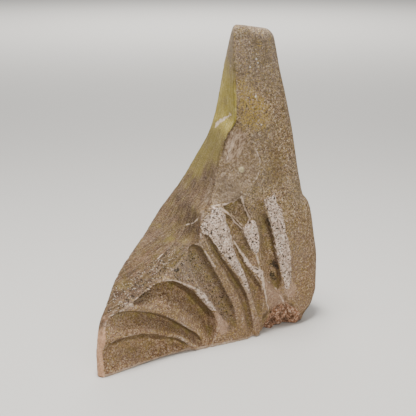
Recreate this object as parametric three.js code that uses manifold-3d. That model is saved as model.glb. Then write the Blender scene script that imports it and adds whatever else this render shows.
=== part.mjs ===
// Arch keystone: one block of carved granite, salvaged from an arch and standing on its sawn bed.
// The carved face looks to -Y, its toe points to -X, and a plain shaft rises at the right.
// The block is a stack of level sections with five corners each. Every hollow and flute of the
// carving is a cutter between two arrises, taken out of the block's face.
// Units are millimetres, +Z is up, and the origin is under the middle of the stone's box.

import * as THREE from "three";
import Module from "manifold-3d";

// Overall size of the stone.
const length = 590;
const depth = 274;
const height = 685;

// How deep each kind of cut goes into the carved face.
const hollowDepth = 34;
const fluteDepth = 25;
const facetDepth = 15;
const spallDepth = 20;
const breakDepth = 34;
const breakRagged = 5;
const breakGrain = 30;

// The hollows rise from bedShare of their depth at the bed to all of it at nearBed above, and run out
// to toeShare of their depth at the toe, over toeFade from its end.
const bedShare = 0.4;
const nearBed = 34;
const toeShare = 0.22;
const toeFade = 110;

// No cut is deeper than this share of its width.
const steepest = 0.62;

// The face bows out by faceBow from X = bowFrom to bowTo, and the shaft leans back by shaftLean
// from Z = leanFrom to leanTo.
const faceBow = 30;
const bowFrom = 0.254 * length;
const bowTo = 0.763 * length;
const shaftLean = 12;
const leanFrom = 0.365 * height;
const leanTo = 0.584 * height;

// The head is worn round by headRadius, drawn in at its top by headInset of that, and falls by
// headFall from its left to its right, from headFallBelow under its top.
const headRadius = 20;
const headInset = 0.8;
const headFall = 14;
const headFallBelow = 0.2 * height;
const headFallFrom = 0.593 * length;
const headFallOver = 0.161 * length;

// The bed is hollow by bedLift under the toe, and by breakLift under the break over breakLiftDeep from
// the face. Both fade out at bedLiftHigh above the bed, and at bedInner of the way to its middle.
const bedLift = 10;
const bedLiftFrom = 0.034 * length;
const bedLiftOver = 0.381 * length;
const breakLift = 12;
const breakLiftFrom = 0.62 * length;
const breakLiftOver = 0.31 * length;
const breakLiftDeep = 90;
const bedLiftHigh = 60;
const bedInner = 0.25;

// Shares of the height below the worn head where the spacing of the level sections changes, each
// with the number of sections up to it, and the sections round the head.
const zones = [
  { to: 0.496, sections: 22 },
  { to: 0.752, sections: 8 },
  { to: 1, sections: 3 },
];
const headSections = 4;

// Every number in the tables of places is in thousandths of a main size: of the length for X and for
// a radius, of the depth for Y, and of the height for Z.
const whole = 1000;

// Corners of a level section, in order round it, as rows of [Z, value]: along is X from the toe, back
// is Y from the face's chord, and radius is the rounding. Steps are the points in the rounding and
// side those to the next corner. A rounding takes up to mostRounded of the side next to it.
const mostRounded = 0.42;
const corners = [
  {
    name: "front arris",
    along: [
      [0, 14], [102, 15], [164, 37], [190, 68], [206, 132], [235, 190], [251, 268], [301, 324],
      [339, 369], [355, 412], [445, 419], [470, 461], [585, 503], [672, 532], [720, 566],
      [825, 559], [1000, 553],
    ],
    radius: [[0, 10], [730, 14], [818, 24], [1000, 24]],
    steps: 2,
    side: 18,
  },
  {
    name: "right edge",
    along: [
      [0, 915], [20, 936], [58, 997], [102, 1022], [204, 1022], [292, 1003], [382, 975], [415, 956],
      [441, 925], [489, 908], [584, 880], [657, 858], [774, 814], [876, 776], [964, 749],
      [1000, 736],
    ],
    radius: [[0, 102], [88, 156], [292, 156], [584, 95], [876, 68], [1000, 61]],
    steps: 4,
    side: 2,
  },
  {
    name: "back right",
    along: [[0, 949], [88, 973], [292, 966], [423, 942], [596, 885], [876, 814], [1000, 786]],
    back: [[0, 858], [397, 730], [596, 602], [876, 467], [1000, 431]],
    radius: [[0, 47], [1000, 47]],
    steps: 2,
    side: 3,
  },
  {
    name: "back left",
    along: [[0, 563], [397, 517], [499, 605], [677, 707], [874, 719], [1000, 732]],
    back: [[0, 894], [397, 755], [499, 657], [677, 547], [874, 460], [1000, 423]],
    radius: [[0, 37], [1000, 37]],
    steps: 2,
    side: 3,
  },
  {
    name: "rear arris",
    along: [
      [0, 3], [48, 2], [109, 8], [168, 25], [203, 58], [260, 139], [315, 281], [355, 388],
      [382, 447], [423, 497], [499, 559], [571, 607], [628, 644], [677, 661], [794, 673],
      [874, 686], [1000, 712],
    ],
    back: [
      [0, 66], [109, 73], [168, 80], [203, 117], [260, 255], [315, 456], [397, 693], [499, 639],
      [596, 584], [677, 540], [794, 474], [874, 456], [1000, 420],
    ],
    radius: [[0, 12], [1000, 12]],
    steps: 2,
    side: 4,
  },
];

// Arrises of the carving on the face, each as [X from the toe, Z]. Points below Z = 0 carry a line
// on past the bed, where the block was cut through the pattern.
const arrises = {
  foot: [[-51, -50], [203, -44], [444, -26]],
  crest1: [
    [-51, 73], [3, 92], [56, 108], [129, 108], [197, 99], [271, 74], [327, 54], [381, 15],
    [444, -26],
  ],
  crest2: [
    [-10, 175], [63, 188], [102, 191], [169, 178], [266, 143], [347, 93], [410, 45], [444, -26],
  ],
  crest3: [
    [-10, 177], [75, 191], [136, 206], [173, 226], [220, 241], [254, 250], [290, 251],
    [324, 241], [390, 200], [437, 152], [468, 114], [480, 58], [444, -26],
  ],
  lobeSide: [[383, 347], [364, 326], [380, 262], [430, 186], [492, 104], [573, 29]],
  ribLeft: [[383, 347], [412, 345], [446, 298], [488, 232], [525, 169], [554, 115], [573, 29]],
  ribRight: [[422, 377], [437, 350], [466, 299], [508, 234], [542, 175], [576, 111], [614, -29]],
  tongueLeft: [[422, 377], [447, 374], [514, 280], [569, 215], [607, 156], [627, 93], [658, -29]],
  tongueRight: [[508, 438], [527, 374], [551, 305], [592, 238], [620, 171], [651, 89], [685, -15]],
  spineLeft: [
    [508, 438], [537, 385], [553, 345], [573, 302], [607, 253], [647, 203], [678, 143], [685, -15],
  ],
  spineRight: [[508, 438], [522, 397], [539, 359], [580, 309], [614, 274], [644, 245]],
  rim: [[508, 438], [549, 418], [586, 380], [605, 340], [627, 292], [644, 245]],
  leafLeft: [[508, 453], [549, 422], [590, 384], [617, 365]],
  leafRight: [[508, 453], [568, 470], [590, 467], [607, 435], [624, 403], [617, 365]],
  channelLeft: [
    [651, 482], [627, 464], [634, 412], [650, 355], [658, 289], [675, 213], [702, 164], [746, 117],
  ],
  channelRight: [[651, 482], [678, 467], [698, 400], [729, 323], [756, 229], [768, 166], [746, 117]],
  spallLeft: [[559, 739], [495, 686], [461, 613], [437, 540], [417, 470], [458, 455]],
  spallRight: [
    [559, 739], [617, 679], [654, 631], [671, 593], [654, 533], [607, 498], [508, 464], [458, 455],
  ],
  breakBed: [[664, -18], [771, -23], [881, -18]],
  breakTop: [[664, -18], [675, 102], [702, 187], [758, 152], [820, 99], [858, 35], [881, -18]],
};

// What is cut away between two arrises: low is the soft side, high the side with the steep wall, and
// wall is where the deepest line lies, from low at 0 to high at 1. A cut with a facet falls straight
// instead, and runIn is the share of a cut's length over which it reaches its depth.
const cuts = [
  { low: "foot", high: "crest1", deep: hollowDepth * 0.65, wall: 0.74 },
  { low: "crest1", high: "crest2", deep: hollowDepth * 0.7, wall: 0.83 },
  { low: "crest2", high: "crest3", deep: hollowDepth, wall: 0.85 },
  { low: "lobeSide", high: "ribLeft", deep: fluteDepth * 0.75, wall: 0.64 },
  { low: "ribRight", high: "tongueLeft", deep: fluteDepth, wall: 0.84 },
  { low: "tongueRight", high: "spineLeft", deep: fluteDepth * 0.55, wall: 0.6 },
  { low: "spineRight", high: "rim", deep: fluteDepth * 0.5, wall: 0.6 },
  { low: "leafLeft", high: "leafRight", deep: facetDepth, wall: 0.6 },
  { low: "channelLeft", high: "channelRight", deep: facetDepth * 1.35, wall: 0.75, runIn: 0.35 },
  { low: "spallLeft", high: "spallRight", deep: spallDepth, facet: 1 },
  { low: "breakBed", high: "breakTop", deep: breakDepth, facet: 1.2, ragged: breakRagged },
];

// Shares of the way across a cut where its surface has points, how far apart the rows of points are,
// how narrow a cutter's tips are, and how far its edge stands out sideways and in front of the face.
const across = [0, 0.2, 0.42, 0.6, 0.74, 0.84, 0.91, 0.97, 1];
const stationGap = 15;
const tipWidth = 3;
const skin = 0.6;
const edgeOut = 5;
const front = 40;

// Slivers between the cuts that are thinner than this are smoothed away.
const leastDetail = 0.1;

// Smooth curve through [place, value] rows that never overshoots them.
function monotone(rows) {
  const x = rows.map((row) => row[0]);
  const y = rows.map((row) => row[1]);
  const last = rows.length - 1;
  const gap = x.slice(1).map((value, i) => value - x[i]);
  const rise = gap.map((value, i) => (y[i + 1] - y[i]) / value);
  const slope = x.map((value, i) => {
    if (i === 0) return rise[0];
    if (i === last) return rise[last - 1];
    if (rise[i - 1] * rise[i] <= 0) return 0;
    const before = 2 * gap[i] + gap[i - 1];
    const after = gap[i] + 2 * gap[i - 1];
    return (before + after) / (before / rise[i - 1] + after / rise[i]);
  });
  return (place) => {
    const at = THREE.MathUtils.clamp(place, x[0], x[last]);
    const i = Math.min(last - 1, Math.max(0, x.findIndex((value) => value >= at) - 1));
    const u = (at - x[i]) / gap[i];
    const v = 1 - u;
    const ends = v * v * (1 + 2 * u) * y[i] + u * u * (3 - 2 * u) * y[i + 1];
    return ends + gap[i] * u * v * (v * slope[i] - u * slope[i + 1]);
  };
}

const clamp01 = (value) => THREE.MathUtils.clamp(value, 0, 1);
const soften = (value) => clamp01(value) ** 2 * (3 - 2 * clamp01(value));

// A table of [Z, value] rows as a curve in millimetres, where size is what its values are shares of.
function curveOf(rows, size) {
  const curve = monotone(rows);
  return (z) => (size * curve((whole * z) / height)) / whole;
}

for (const corner of corners) {
  corner.alongAt = curveOf(corner.along, length);
  corner.backAt = corner.back && curveOf(corner.back, depth);
  corner.radiusAt = curveOf(corner.radius, length);
}

// Where the uncut face lies behind its chord.
function faceBack(x, z) {
  const bow = soften((x - bowFrom) / (bowTo - bowFrom));
  const lean = soften((z - leanFrom) / (leanTo - leanFrom));
  return shaftLean * lean - faceBow * bow;
}

// One level section as points in order round it.
function section(z) {
  const points = corners.map((corner) => {
    const x = corner.alongAt(z);
    return new THREE.Vector2(x, corner.backAt ? corner.backAt(z) : faceBack(x, z));
  });
  const count = points.length;
  const lengths = points.map((point, i) => point.distanceTo(points[(i + 1) % count]));
  const reach = (i, side) => Math.min(corners[i].radiusAt(z), lengths[side] * mostRounded);
  const towards = (i, j, far) => {
    const step = points[j].clone().sub(points[i]);
    return points[i].clone().addScaledVector(step.normalize(), far);
  };
  const outline = [];
  for (let i = 0; i < count; i += 1) {
    const next = (i + 1) % count;
    const after = (i + 2) % count;
    const onFace = i === 0;
    const start = towards(i, next, reach(i, i));
    const end = towards(next, i, reach(next, i));
    const turn = towards(next, after, reach(next, next));
    if (onFace) end.y = faceBack(end.x, z);
    if (next === 0) turn.y = faceBack(turn.x, z);
    for (let k = 0; k < corners[i].side; k += 1) {
      const point = start.clone().lerp(end, k / corners[i].side);
      if (onFace) point.y = faceBack(point.x, z);
      outline.push(point);
    }
    const bend = new THREE.QuadraticBezierCurve(end, points[next], turn);
    for (let k = 0; k < corners[next].steps; k += 1) {
      outline.push(bend.getPoint(k / corners[next].steps));
    }
  }
  return outline;
}

// Heights of the level sections, close together where the carving is.
function sectionHeights() {
  const heights = [0];
  const shoulder = height - headRadius;
  for (const { to, sections } of zones) {
    const from = heights[heights.length - 1];
    for (let i = 1; i <= sections; i += 1) {
      heights.push(from + ((to * shoulder - from) * i) / sections);
    }
  }
  for (let i = 1; i <= headSections; i += 1) {
    heights.push(shoulder + headRadius * Math.sin((Math.PI / 2) * (i / headSections)));
  }
  return heights;
}

// A level section in space: worn round and falling at the head, and hollow under the toe.
function ring(z) {
  const outline = section(z);
  const centre = new THREE.Vector2();
  for (const point of outline) centre.addScaledVector(point, 1 / outline.length);
  const intoHead = clamp01((z - height + headRadius) / headRadius);
  const inset = headInset * headRadius * (1 - Math.sqrt(1 - intoHead ** 2));
  const nearHead = clamp01(1 - (height - z) / headFallBelow);
  return outline.map((point) => {
    const out = point.clone().sub(centre);
    const place = centre.clone().addScaledVector(out, 1 - inset / out.length());
    const drop = headFall * nearHead * clamp01((place.x - headFallFrom) / headFallOver);
    const underToe = Math.sin(Math.PI * clamp01((place.x - bedLiftFrom) / bedLiftOver)) ** 2;
    const underBreak = Math.sin(Math.PI * clamp01((place.x - breakLiftFrom) / breakLiftOver)) ** 2;
    const nearFace = clamp01(1 - (place.y + faceBow) / breakLiftDeep);
    const lifted = bedLift * underToe + breakLift * underBreak * nearFace;
    const lift = lifted * clamp01(1 - z / bedLiftHigh);
    return new THREE.Vector3(place.x, place.y, z - drop + lift);
  });
}

// The bed's inner ring, where the hollow under the toe has come back to the level.
function bedRing(outer) {
  const middle = new THREE.Vector3();
  for (const point of outer) middle.addScaledVector(point, 1 / outer.length);
  return outer.map((point) => point.clone().lerp(middle, bedInner).setZ(0));
}

// Rows of points, each a closed ring, joined into one solid. Both ends close to a middle point.
function solidOf(rows) {
  const positions = rows.flat().flatMap((point) => point.toArray());
  const count = rows[0].length;
  const index = [];
  for (let i = 0; i + 1 < rows.length; i += 1) {
    for (let j = 0; j < count; j += 1) {
      const a = i * count + j;
      const b = i * count + ((j + 1) % count);
      index.push(a, b, b + count, a, b + count, a + count);
    }
  }
  for (const row of [0, rows.length - 1]) {
    const middle = new THREE.Vector3();
    for (const point of rows[row]) middle.addScaledVector(point, 1 / count);
    const tip = positions.length / 3;
    positions.push(...middle.toArray());
    for (let j = 0; j < count; j += 1) {
      const edge = [row * count + j, row * count + ((j + 1) % count)];
      if (row === 0) edge.reverse();
      index.push(tip, ...edge);
    }
  }
  const vertProperties = new Float32Array(positions);
  const triVerts = new Uint32Array(index);
  return new wasm.Manifold(new wasm.Mesh({ numProp: 3, vertProperties, triVerts }));
}

// Depth of a cut at a share of the way across it, where it is as wide as width and along of its
// length from its start.
function cutDepth(cut, share, width, place, along) {
  const grown = cut.runIn ? soften(along / cut.runIn) : 1;
  const deepest = Math.min(cut.deep, steepest * width) * grown;
  if (cut.facet) {
    const u = (2 * Math.PI * place.x) / breakGrain;
    const w = (2 * Math.PI * place.y) / breakGrain;
    const ragged = Math.sin(u + 0.43 * w) + Math.sin(0.81 * w - 0.62 * u);
    return (1 - share) ** cut.facet * (deepest + (cut.ragged ?? 0) * ragged);
  }
  const steep = 0.42;
  const slow = (steep * cut.wall) / (1 - cut.wall);
  const peak = cut.wall ** slow * (1 - cut.wall) ** steep;
  const rise = bedShare + (1 - bedShare) * clamp01(place.y / nearBed);
  const toToe = toeShare + (1 - toeShare) * soften(place.x / toeFade);
  return (deepest * rise * toToe * share ** slow * (1 - share) ** steep) / peak;
}

// An arris as a smooth curve of X and Z in millimetres.
function arris(name) {
  const places = arrises[name].map(([x, z]) => [(x * length) / whole, (z * height) / whole]);
  return new THREE.SplineCurve(places.map(([x, z]) => new THREE.Vector2(x, z)));
}

// The solid that one cut takes out: a row of points across it at each station from end to end, down
// its surface and back in front of the face.
function cutter(cut) {
  const low = arris(cut.low);
  const high = arris(cut.high);
  const stations = Math.ceil(Math.max(low.getLength(), high.getLength()) / stationGap);
  const spans = [];
  for (let i = 0; i <= stations; i += 1) {
    const from = low.getPointAt(i / stations);
    const to = high.getPointAt(i / stations);
    spans.push({ from, to, width: from.distanceTo(to) });
  }
  const wide = spans.filter((span) => span.width > tipWidth);
  const rows = spans.map((span, i) => {
    const near = span.width > tipWidth ? span : wide[i < stations / 2 ? 0 : wide.length - 1];
    const way = near.to.clone().sub(near.from).normalize();
    const spread = Math.max(0, tipWidth - span.width) / 2;
    const from = span.from.clone().addScaledVector(way, -spread);
    const to = span.to.clone().addScaledVector(way, spread);
    const at = (place, deep) => new THREE.Vector3(place.x, faceBack(place.x, place.y) + deep, place.y);
    const before = from.clone().addScaledVector(way, -edgeOut);
    const beyond = to.clone().addScaledVector(way, edgeOut * 0.2);
    const surface = across.map((share) => {
      const place = from.clone().lerp(to, share);
      return at(place, cutDepth(cut, share, span.width, place, i / stations) - skin);
    });
    const lip = cut.facet ? -front : -edgeOut * 0.4;
    return [at(before, lip), ...surface, at(beyond, -front), at(before, -front - 1)];
  });
  return solidOf(rows);
}

const wasm = await Module();
wasm.setup();

const rings = sectionHeights().map(ring);
let carved = solidOf([bedRing(rings[0]), ...rings]);
for (const cut of cuts) {
  const tool = cutter(cut);
  if (tool.volume() < 0) throw new Error(`${cut.high} turns the wrong way`);
  carved = carved.subtract(tool);
}

// The origin goes under the middle of the stone's box.
const { vertProperties, triVerts } = carved.asOriginal().simplify(leastDetail).getMesh();
const geometry = new THREE.BufferGeometry();
geometry.setAttribute("position", new THREE.BufferAttribute(vertProperties, 3));
geometry.setIndex(new THREE.BufferAttribute(triVerts, 1));
geometry.computeBoundingBox();
const box = geometry.boundingBox;
geometry.translate(-(box.min.x + box.max.x) / 2, -(box.min.y + box.max.y) / 2, -box.min.z);
geometry.computeVertexNormals();

// Weathered grey-brown granite with dark grains.
const granite = new THREE.MeshStandardMaterial({ color: 0x8f7f66, roughness: 0.92, metalness: 0 });

const keystone = new THREE.Mesh(geometry, granite);
keystone.name = "keystone";

const stone = new THREE.Group();
stone.add(keystone);

export default stone;
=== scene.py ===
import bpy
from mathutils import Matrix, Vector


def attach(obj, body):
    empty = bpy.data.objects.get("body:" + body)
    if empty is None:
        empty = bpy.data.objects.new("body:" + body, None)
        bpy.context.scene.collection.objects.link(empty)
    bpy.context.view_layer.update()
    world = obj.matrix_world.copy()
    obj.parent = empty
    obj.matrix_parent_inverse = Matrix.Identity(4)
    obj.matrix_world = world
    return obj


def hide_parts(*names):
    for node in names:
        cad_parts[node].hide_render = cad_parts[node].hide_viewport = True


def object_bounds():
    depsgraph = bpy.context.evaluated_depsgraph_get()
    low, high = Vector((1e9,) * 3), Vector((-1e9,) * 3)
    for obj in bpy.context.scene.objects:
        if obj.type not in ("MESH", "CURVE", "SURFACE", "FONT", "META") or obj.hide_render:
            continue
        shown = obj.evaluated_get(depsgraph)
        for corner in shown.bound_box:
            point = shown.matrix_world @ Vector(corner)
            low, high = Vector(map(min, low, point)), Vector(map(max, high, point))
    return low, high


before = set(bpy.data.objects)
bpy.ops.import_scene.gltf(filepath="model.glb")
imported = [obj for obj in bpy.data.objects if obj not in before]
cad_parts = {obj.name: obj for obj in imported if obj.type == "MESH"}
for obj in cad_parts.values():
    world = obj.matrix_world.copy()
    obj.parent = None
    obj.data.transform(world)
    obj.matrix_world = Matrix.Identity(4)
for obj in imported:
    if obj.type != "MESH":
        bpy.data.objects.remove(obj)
cadBox = [list(corner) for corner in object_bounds()]

import math

import bpy
import numpy as np
from mathutils import Vector

mm = 0.001
whole = 1000  # tables of places are in thousandths of a main size
tiny = 1e-9  # keeps a division safe


def linearColour(hexColour):
    # sRGB hex to the linear colour that a shader reads
    parts = [int(hexColour[i:i + 2], 16) / 255 for i in (0, 2, 4)]
    return tuple(p / 12.92 if p < 0.04045 else ((p + 0.055) / 1.055) ** 2.4 for p in parts) + (1.0,)


def addNode(tree, kind, settings=None, inputs=None, ramp=None):
    node = tree.nodes.new(kind)
    for name, value in (settings or {}).items():
        setattr(node, name, value)
    for name, value in (inputs or {}).items():
        if isinstance(value, bpy.types.NodeSocket):
            tree.links.new(value, node.inputs[name])
        else:
            node.inputs[name].default_value = value
    if ramp:
        stops = node.color_ramp.elements
        while len(stops) < len(ramp):
            stops.new(1.0)
        for stop, (place, colour) in zip(stops, ramp):
            stop.position = place
            stop.color = linearColour(colour)
    return node


def addObject(name, data):
    made = bpy.data.objects.new(name, data)
    bpy.context.scene.collection.objects.link(made)
    return made


def addModifier(piece, name, kind, settings):
    made = piece.modifiers.new(name, kind)
    for key, value in settings.items():
        setattr(made, key, value)
    return made


def meshObject(name, points, faces):
    mesh = bpy.data.meshes.new(name)
    mesh.from_pydata([tuple(p) for p in points], [], [tuple(f) for f in faces])
    return addObject(name, mesh)


def evaluatedMesh(piece):
    # the piece's mesh with its modifiers worked in
    graph = bpy.context.evaluated_depsgraph_get()
    return bpy.data.meshes.new_from_object(piece.evaluated_get(graph))


def vertexVectors(mesh, field):
    # three numbers for each vertex
    flat = np.zeros(len(mesh.vertices) * 3)
    mesh.vertices.foreach_get(field, flat)
    return flat.reshape(-1, 3)


def setPlaces(mesh, places):
    mesh.vertices.foreach_set("co", places.ravel())
    mesh.update()


# the stone's form: the CAD solid's rule at a finer step, lengths in mm, the rest shares and counts
stoneForm = {
    "length": 590,
    "depth": 274,
    "height": 685,
    "hollowDepth": 34,
    "fluteDepth": 25,
    "facetDepth": 15,
    "spallDepth": 20,
    "breakDepth": 34,
    "breakRagged": 5,
    "breakGrain": 30,
    "breakSkew": (0.43, 0.81, -0.62),  # how the ragged break's waves are turned
    "steep": 0.42,
    "bedShare": 0.4,
    "nearBed": 34,
    "toeShare": 0.22,
    "toeFade": 110,
    "steepest": 0.62,
    "mostRounded": 0.42,
    "faceBow": 30,
    "bow": (0.254, 0.763),
    "shaftLean": 12,
    "lean": (0.365, 0.584),
    "headRadius": 20,
    "headSteps": 10,
    "headInset": 0.8,
    "headFall": 14,
    "headFallBelow": 0.2,
    "headFallFrom": 0.593,
    "headFallOver": 0.161,
    "bedLift": 10,
    "bedLiftFrom": 0.034,
    "bedLiftOver": 0.381,
    "breakLift": 12,
    "breakLiftFrom": 0.62,
    "breakLiftOver": 0.31,
    "breakLiftDeep": 90,
    "bedLiftHigh": 60,
    "bedInner": 0.25,
    "levelStep": 5,
    "arrisSteps": 24,
    "stationGap": 4,
    "acrossSteps": 30,
    "tipWidth": 3,
    "skin": 0.6,
    "edgeOut": 5,
    "edgeBeyond": 0.2,
    "edgeLip": 0.4,
    "front": 40,
    "voxel": 2.6,
    "facesBack": 0.35,  # a normal's share of straight back, past which the face counts as the back
    "facesDown": 0.9,
    "backShare": 0.15,  # share of the faces kept on the plain back and bed
}
form = stoneForm

# corners of a level section: rows of height and value, steps in the rounding, steps to the next
corners = {
    "front arris": {
        "along": [
            [0, 14], [102, 15], [164, 37], [190, 68], [206, 132], [235, 190], [251, 268], [301, 324],
            [339, 369], [355, 412], [445, 419], [470, 461], [585, 503], [672, 532], [720, 566],
            [825, 559], [1000, 553],
        ],
        "radius": [[0, 10], [730, 14], [818, 24], [1000, 24]],
        "steps": 5,
        "side": 96,
    },
    "right edge": {
        "along": [
            [0, 915], [20, 936], [58, 997], [102, 1022], [204, 1022], [292, 1003], [382, 975],
            [415, 956], [441, 925], [489, 908], [584, 880], [657, 858], [774, 814], [876, 776],
            [964, 749], [1000, 736],
        ],
        "radius": [[0, 102], [88, 156], [292, 156], [584, 95], [876, 68], [1000, 61]],
        "steps": 14,
        "side": 10,
    },
    "back right": {
        "along": [[0, 949], [88, 973], [292, 966], [423, 942], [596, 885], [876, 814], [1000, 786]],
        "back": [[0, 858], [397, 730], [596, 602], [876, 467], [1000, 431]],
        "radius": [[0, 47], [1000, 47]],
        "steps": 8,
        "side": 16,
    },
    "back left": {
        "along": [[0, 563], [397, 517], [499, 605], [677, 707], [874, 719], [1000, 732]],
        "back": [[0, 894], [397, 755], [499, 657], [677, 547], [874, 460], [1000, 423]],
        "radius": [[0, 37], [1000, 37]],
        "steps": 8,
        "side": 16,
    },
    "rear arris": {
        "along": [
            [0, 3], [48, 2], [109, 8], [168, 25], [203, 58], [260, 139], [315, 281], [355, 388],
            [382, 447], [423, 497], [499, 559], [571, 607], [628, 644], [677, 661], [794, 673],
            [874, 686], [1000, 712],
        ],
        "back": [
            [0, 66], [109, 73], [168, 80], [203, 117], [260, 255], [315, 456], [397, 693],
            [499, 639], [596, 584], [677, 540], [794, 474], [874, 456], [1000, 420],
        ],
        "radius": [[0, 12], [1000, 12]],
        "steps": 4,
        "side": 30,
    },
}

# arrises of the carving on the face, along and up
arrises = {
    "foot": [[-51, -50], [203, -44], [444, -26]],
    "crest1": [
        [-51, 73], [3, 92], [56, 108], [129, 108], [197, 99], [271, 74], [327, 54], [381, 15],
        [444, -26],
    ],
    "crest2": [
        [-10, 175], [63, 188], [102, 191], [169, 178], [266, 143], [347, 93], [410, 45], [444, -26],
    ],
    "crest3": [
        [-10, 177], [75, 191], [136, 206], [173, 226], [220, 241], [254, 250], [290, 251],
        [324, 241], [390, 200], [437, 152], [468, 114], [480, 58], [444, -26],
    ],
    "lobeSide": [[383, 347], [364, 326], [380, 262], [430, 186], [492, 104], [573, 29]],
    "ribLeft": [[383, 347], [412, 345], [446, 298], [488, 232], [525, 169], [554, 115], [573, 29]],
    "ribRight": [[422, 377], [437, 350], [466, 299], [508, 234], [542, 175], [576, 111], [614, -29]],
    "tongueLeft": [
        [422, 377], [447, 374], [514, 280], [569, 215], [607, 156], [627, 93], [658, -29],
    ],
    "tongueRight": [
        [508, 438], [527, 374], [551, 305], [592, 238], [620, 171], [651, 89], [685, -15],
    ],
    "spineLeft": [
        [508, 438], [537, 385], [553, 345], [573, 302], [607, 253], [647, 203], [678, 143],
        [685, -15],
    ],
    "spineRight": [[508, 438], [522, 397], [539, 359], [580, 309], [614, 274], [644, 245]],
    "rim": [[508, 438], [549, 418], [586, 380], [605, 340], [627, 292], [644, 245]],
    "leafLeft": [[508, 453], [549, 422], [590, 384], [617, 365]],
    "leafRight": [[508, 453], [568, 470], [590, 467], [607, 435], [624, 403], [617, 365]],
    "channelLeft": [
        [651, 482], [627, 464], [634, 412], [650, 355], [658, 289], [675, 213], [702, 164],
        [746, 117],
    ],
    "channelRight": [
        [651, 482], [678, 467], [698, 400], [729, 323], [756, 229], [768, 166], [746, 117],
    ],
    "spallLeft": [[559, 739], [495, 686], [461, 613], [437, 540], [417, 470], [458, 455]],
    "spallRight": [
        [559, 739], [617, 679], [654, 631], [671, 593], [654, 533], [607, 498], [508, 464],
        [458, 455],
    ],
    "breakBed": [[664, -18], [771, -23], [881, -18]],
    "breakTop": [[664, -18], [675, 102], [702, 187], [758, 152], [820, 99], [858, 35], [881, -18]],
}

# what is cut away: soft side, steep side, depth as a size and a share of it, the deepest line or the
# facet's curve
cuts = [
    ("foot", "crest1", "hollowDepth", 0.65, {"wall": 0.74}),
    ("crest1", "crest2", "hollowDepth", 0.7, {"wall": 0.83}),
    ("crest2", "crest3", "hollowDepth", 1, {"wall": 0.85}),
    ("lobeSide", "ribLeft", "fluteDepth", 0.75, {"wall": 0.64}),
    ("ribRight", "tongueLeft", "fluteDepth", 1, {"wall": 0.84}),
    ("tongueRight", "spineLeft", "fluteDepth", 0.55, {"wall": 0.6}),
    ("spineRight", "rim", "fluteDepth", 0.5, {"wall": 0.6}),
    ("leafLeft", "leafRight", "facetDepth", 1, {"wall": 0.6}),
    ("channelLeft", "channelRight", "facetDepth", 1.35, {"wall": 0.75, "runIn": 0.35}),
    ("spallLeft", "spallRight", "spallDepth", 1, {"facet": 1}),
    ("breakBed", "breakTop", "breakDepth", 1, {"facet": 1.2, "ragged": True}),
]


def monotoneCurve(rows):
    # a smooth curve through rows of place and value, without overshoot
    x, y = np.array(rows, float).T
    gap = np.diff(x)
    rise = np.diff(y) / gap
    slope = np.zeros(len(x))
    slope[0], slope[-1] = rise[0], rise[-1]
    for i in range(1, len(x) - 1):
        if rise[i - 1] * rise[i] > 0:
            before, after = 2 * gap[i] + gap[i - 1], gap[i] + 2 * gap[i - 1]
            slope[i] = (before + after) / (before / rise[i - 1] + after / rise[i])

    def curve(place):
        at = min(max(place, x[0]), x[-1])
        i = min(len(x) - 2, max(0, int(np.searchsorted(x, at)) - 1))
        u = (at - x[i]) / gap[i]
        v = 1 - u
        ends = v * v * (1 + 2 * u) * y[i] + u * u * (3 - 2 * u) * y[i + 1]
        return ends + gap[i] * u * v * (v * slope[i] - u * slope[i + 1])

    return curve


def soften(value):
    held = np.clip(value, 0, 1)
    return held * held * (3 - 2 * held)


def faceBack(x, z):
    # how far behind its chord the uncut face lies
    bow = [share * form["length"] for share in form["bow"]]
    lean = [share * form["height"] for share in form["lean"]]
    bowed = form["faceBow"] * soften((x - bow[0]) / (bow[1] - bow[0]))
    return form["shaftLean"] * soften((z - lean[0]) / (lean[1] - lean[0])) - bowed


for corner in corners.values():
    for key in ("along", "back", "radius"):
        if key in corner:
            corner[key + "Curve"] = monotoneCurve(corner[key])


def levelSection(z):
    # one level section as points in order round it
    share = whole * z / form["height"]
    kinds = list(corners.values())
    count = len(kinds)
    points = []
    for corner in kinds:
        x = corner["alongCurve"](share) * form["length"] / whole
        y = corner["backCurve"](share) * form["depth"] / whole if "back" in corner else faceBack(x, z)
        points.append(np.array([x, y]))
    lengths = [np.linalg.norm(points[(i + 1) % count] - points[i]) for i in range(count)]

    def towards(i, j, side):
        radius = kinds[i]["radiusCurve"](share) * form["length"] / whole
        way = (points[j] - points[i]) / np.linalg.norm(points[j] - points[i])
        return points[i] + way * min(radius, lengths[side] * form["mostRounded"])

    outline = []
    for i in range(count):
        after, beyond = (i + 1) % count, (i + 2) % count
        start, end = towards(i, after, i), towards(after, i, i)
        turn = towards(after, beyond, after)
        if i == 0:
            end[1] = faceBack(end[0], z)
        if after == 0:
            turn[1] = faceBack(turn[0], z)
        u = np.arange(kinds[i]["side"])[:, None] / kinds[i]["side"]
        side = start + (end - start) * u
        if i == 0:
            side[:, 1] = faceBack(side[:, 0], z)
        u = np.arange(kinds[after]["steps"])[:, None] / kinds[after]["steps"]
        bend = (1 - u) ** 2 * end + 2 * u * (1 - u) * points[after] + u * u * turn
        outline += [side, bend]
    return np.vstack(outline)


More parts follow.
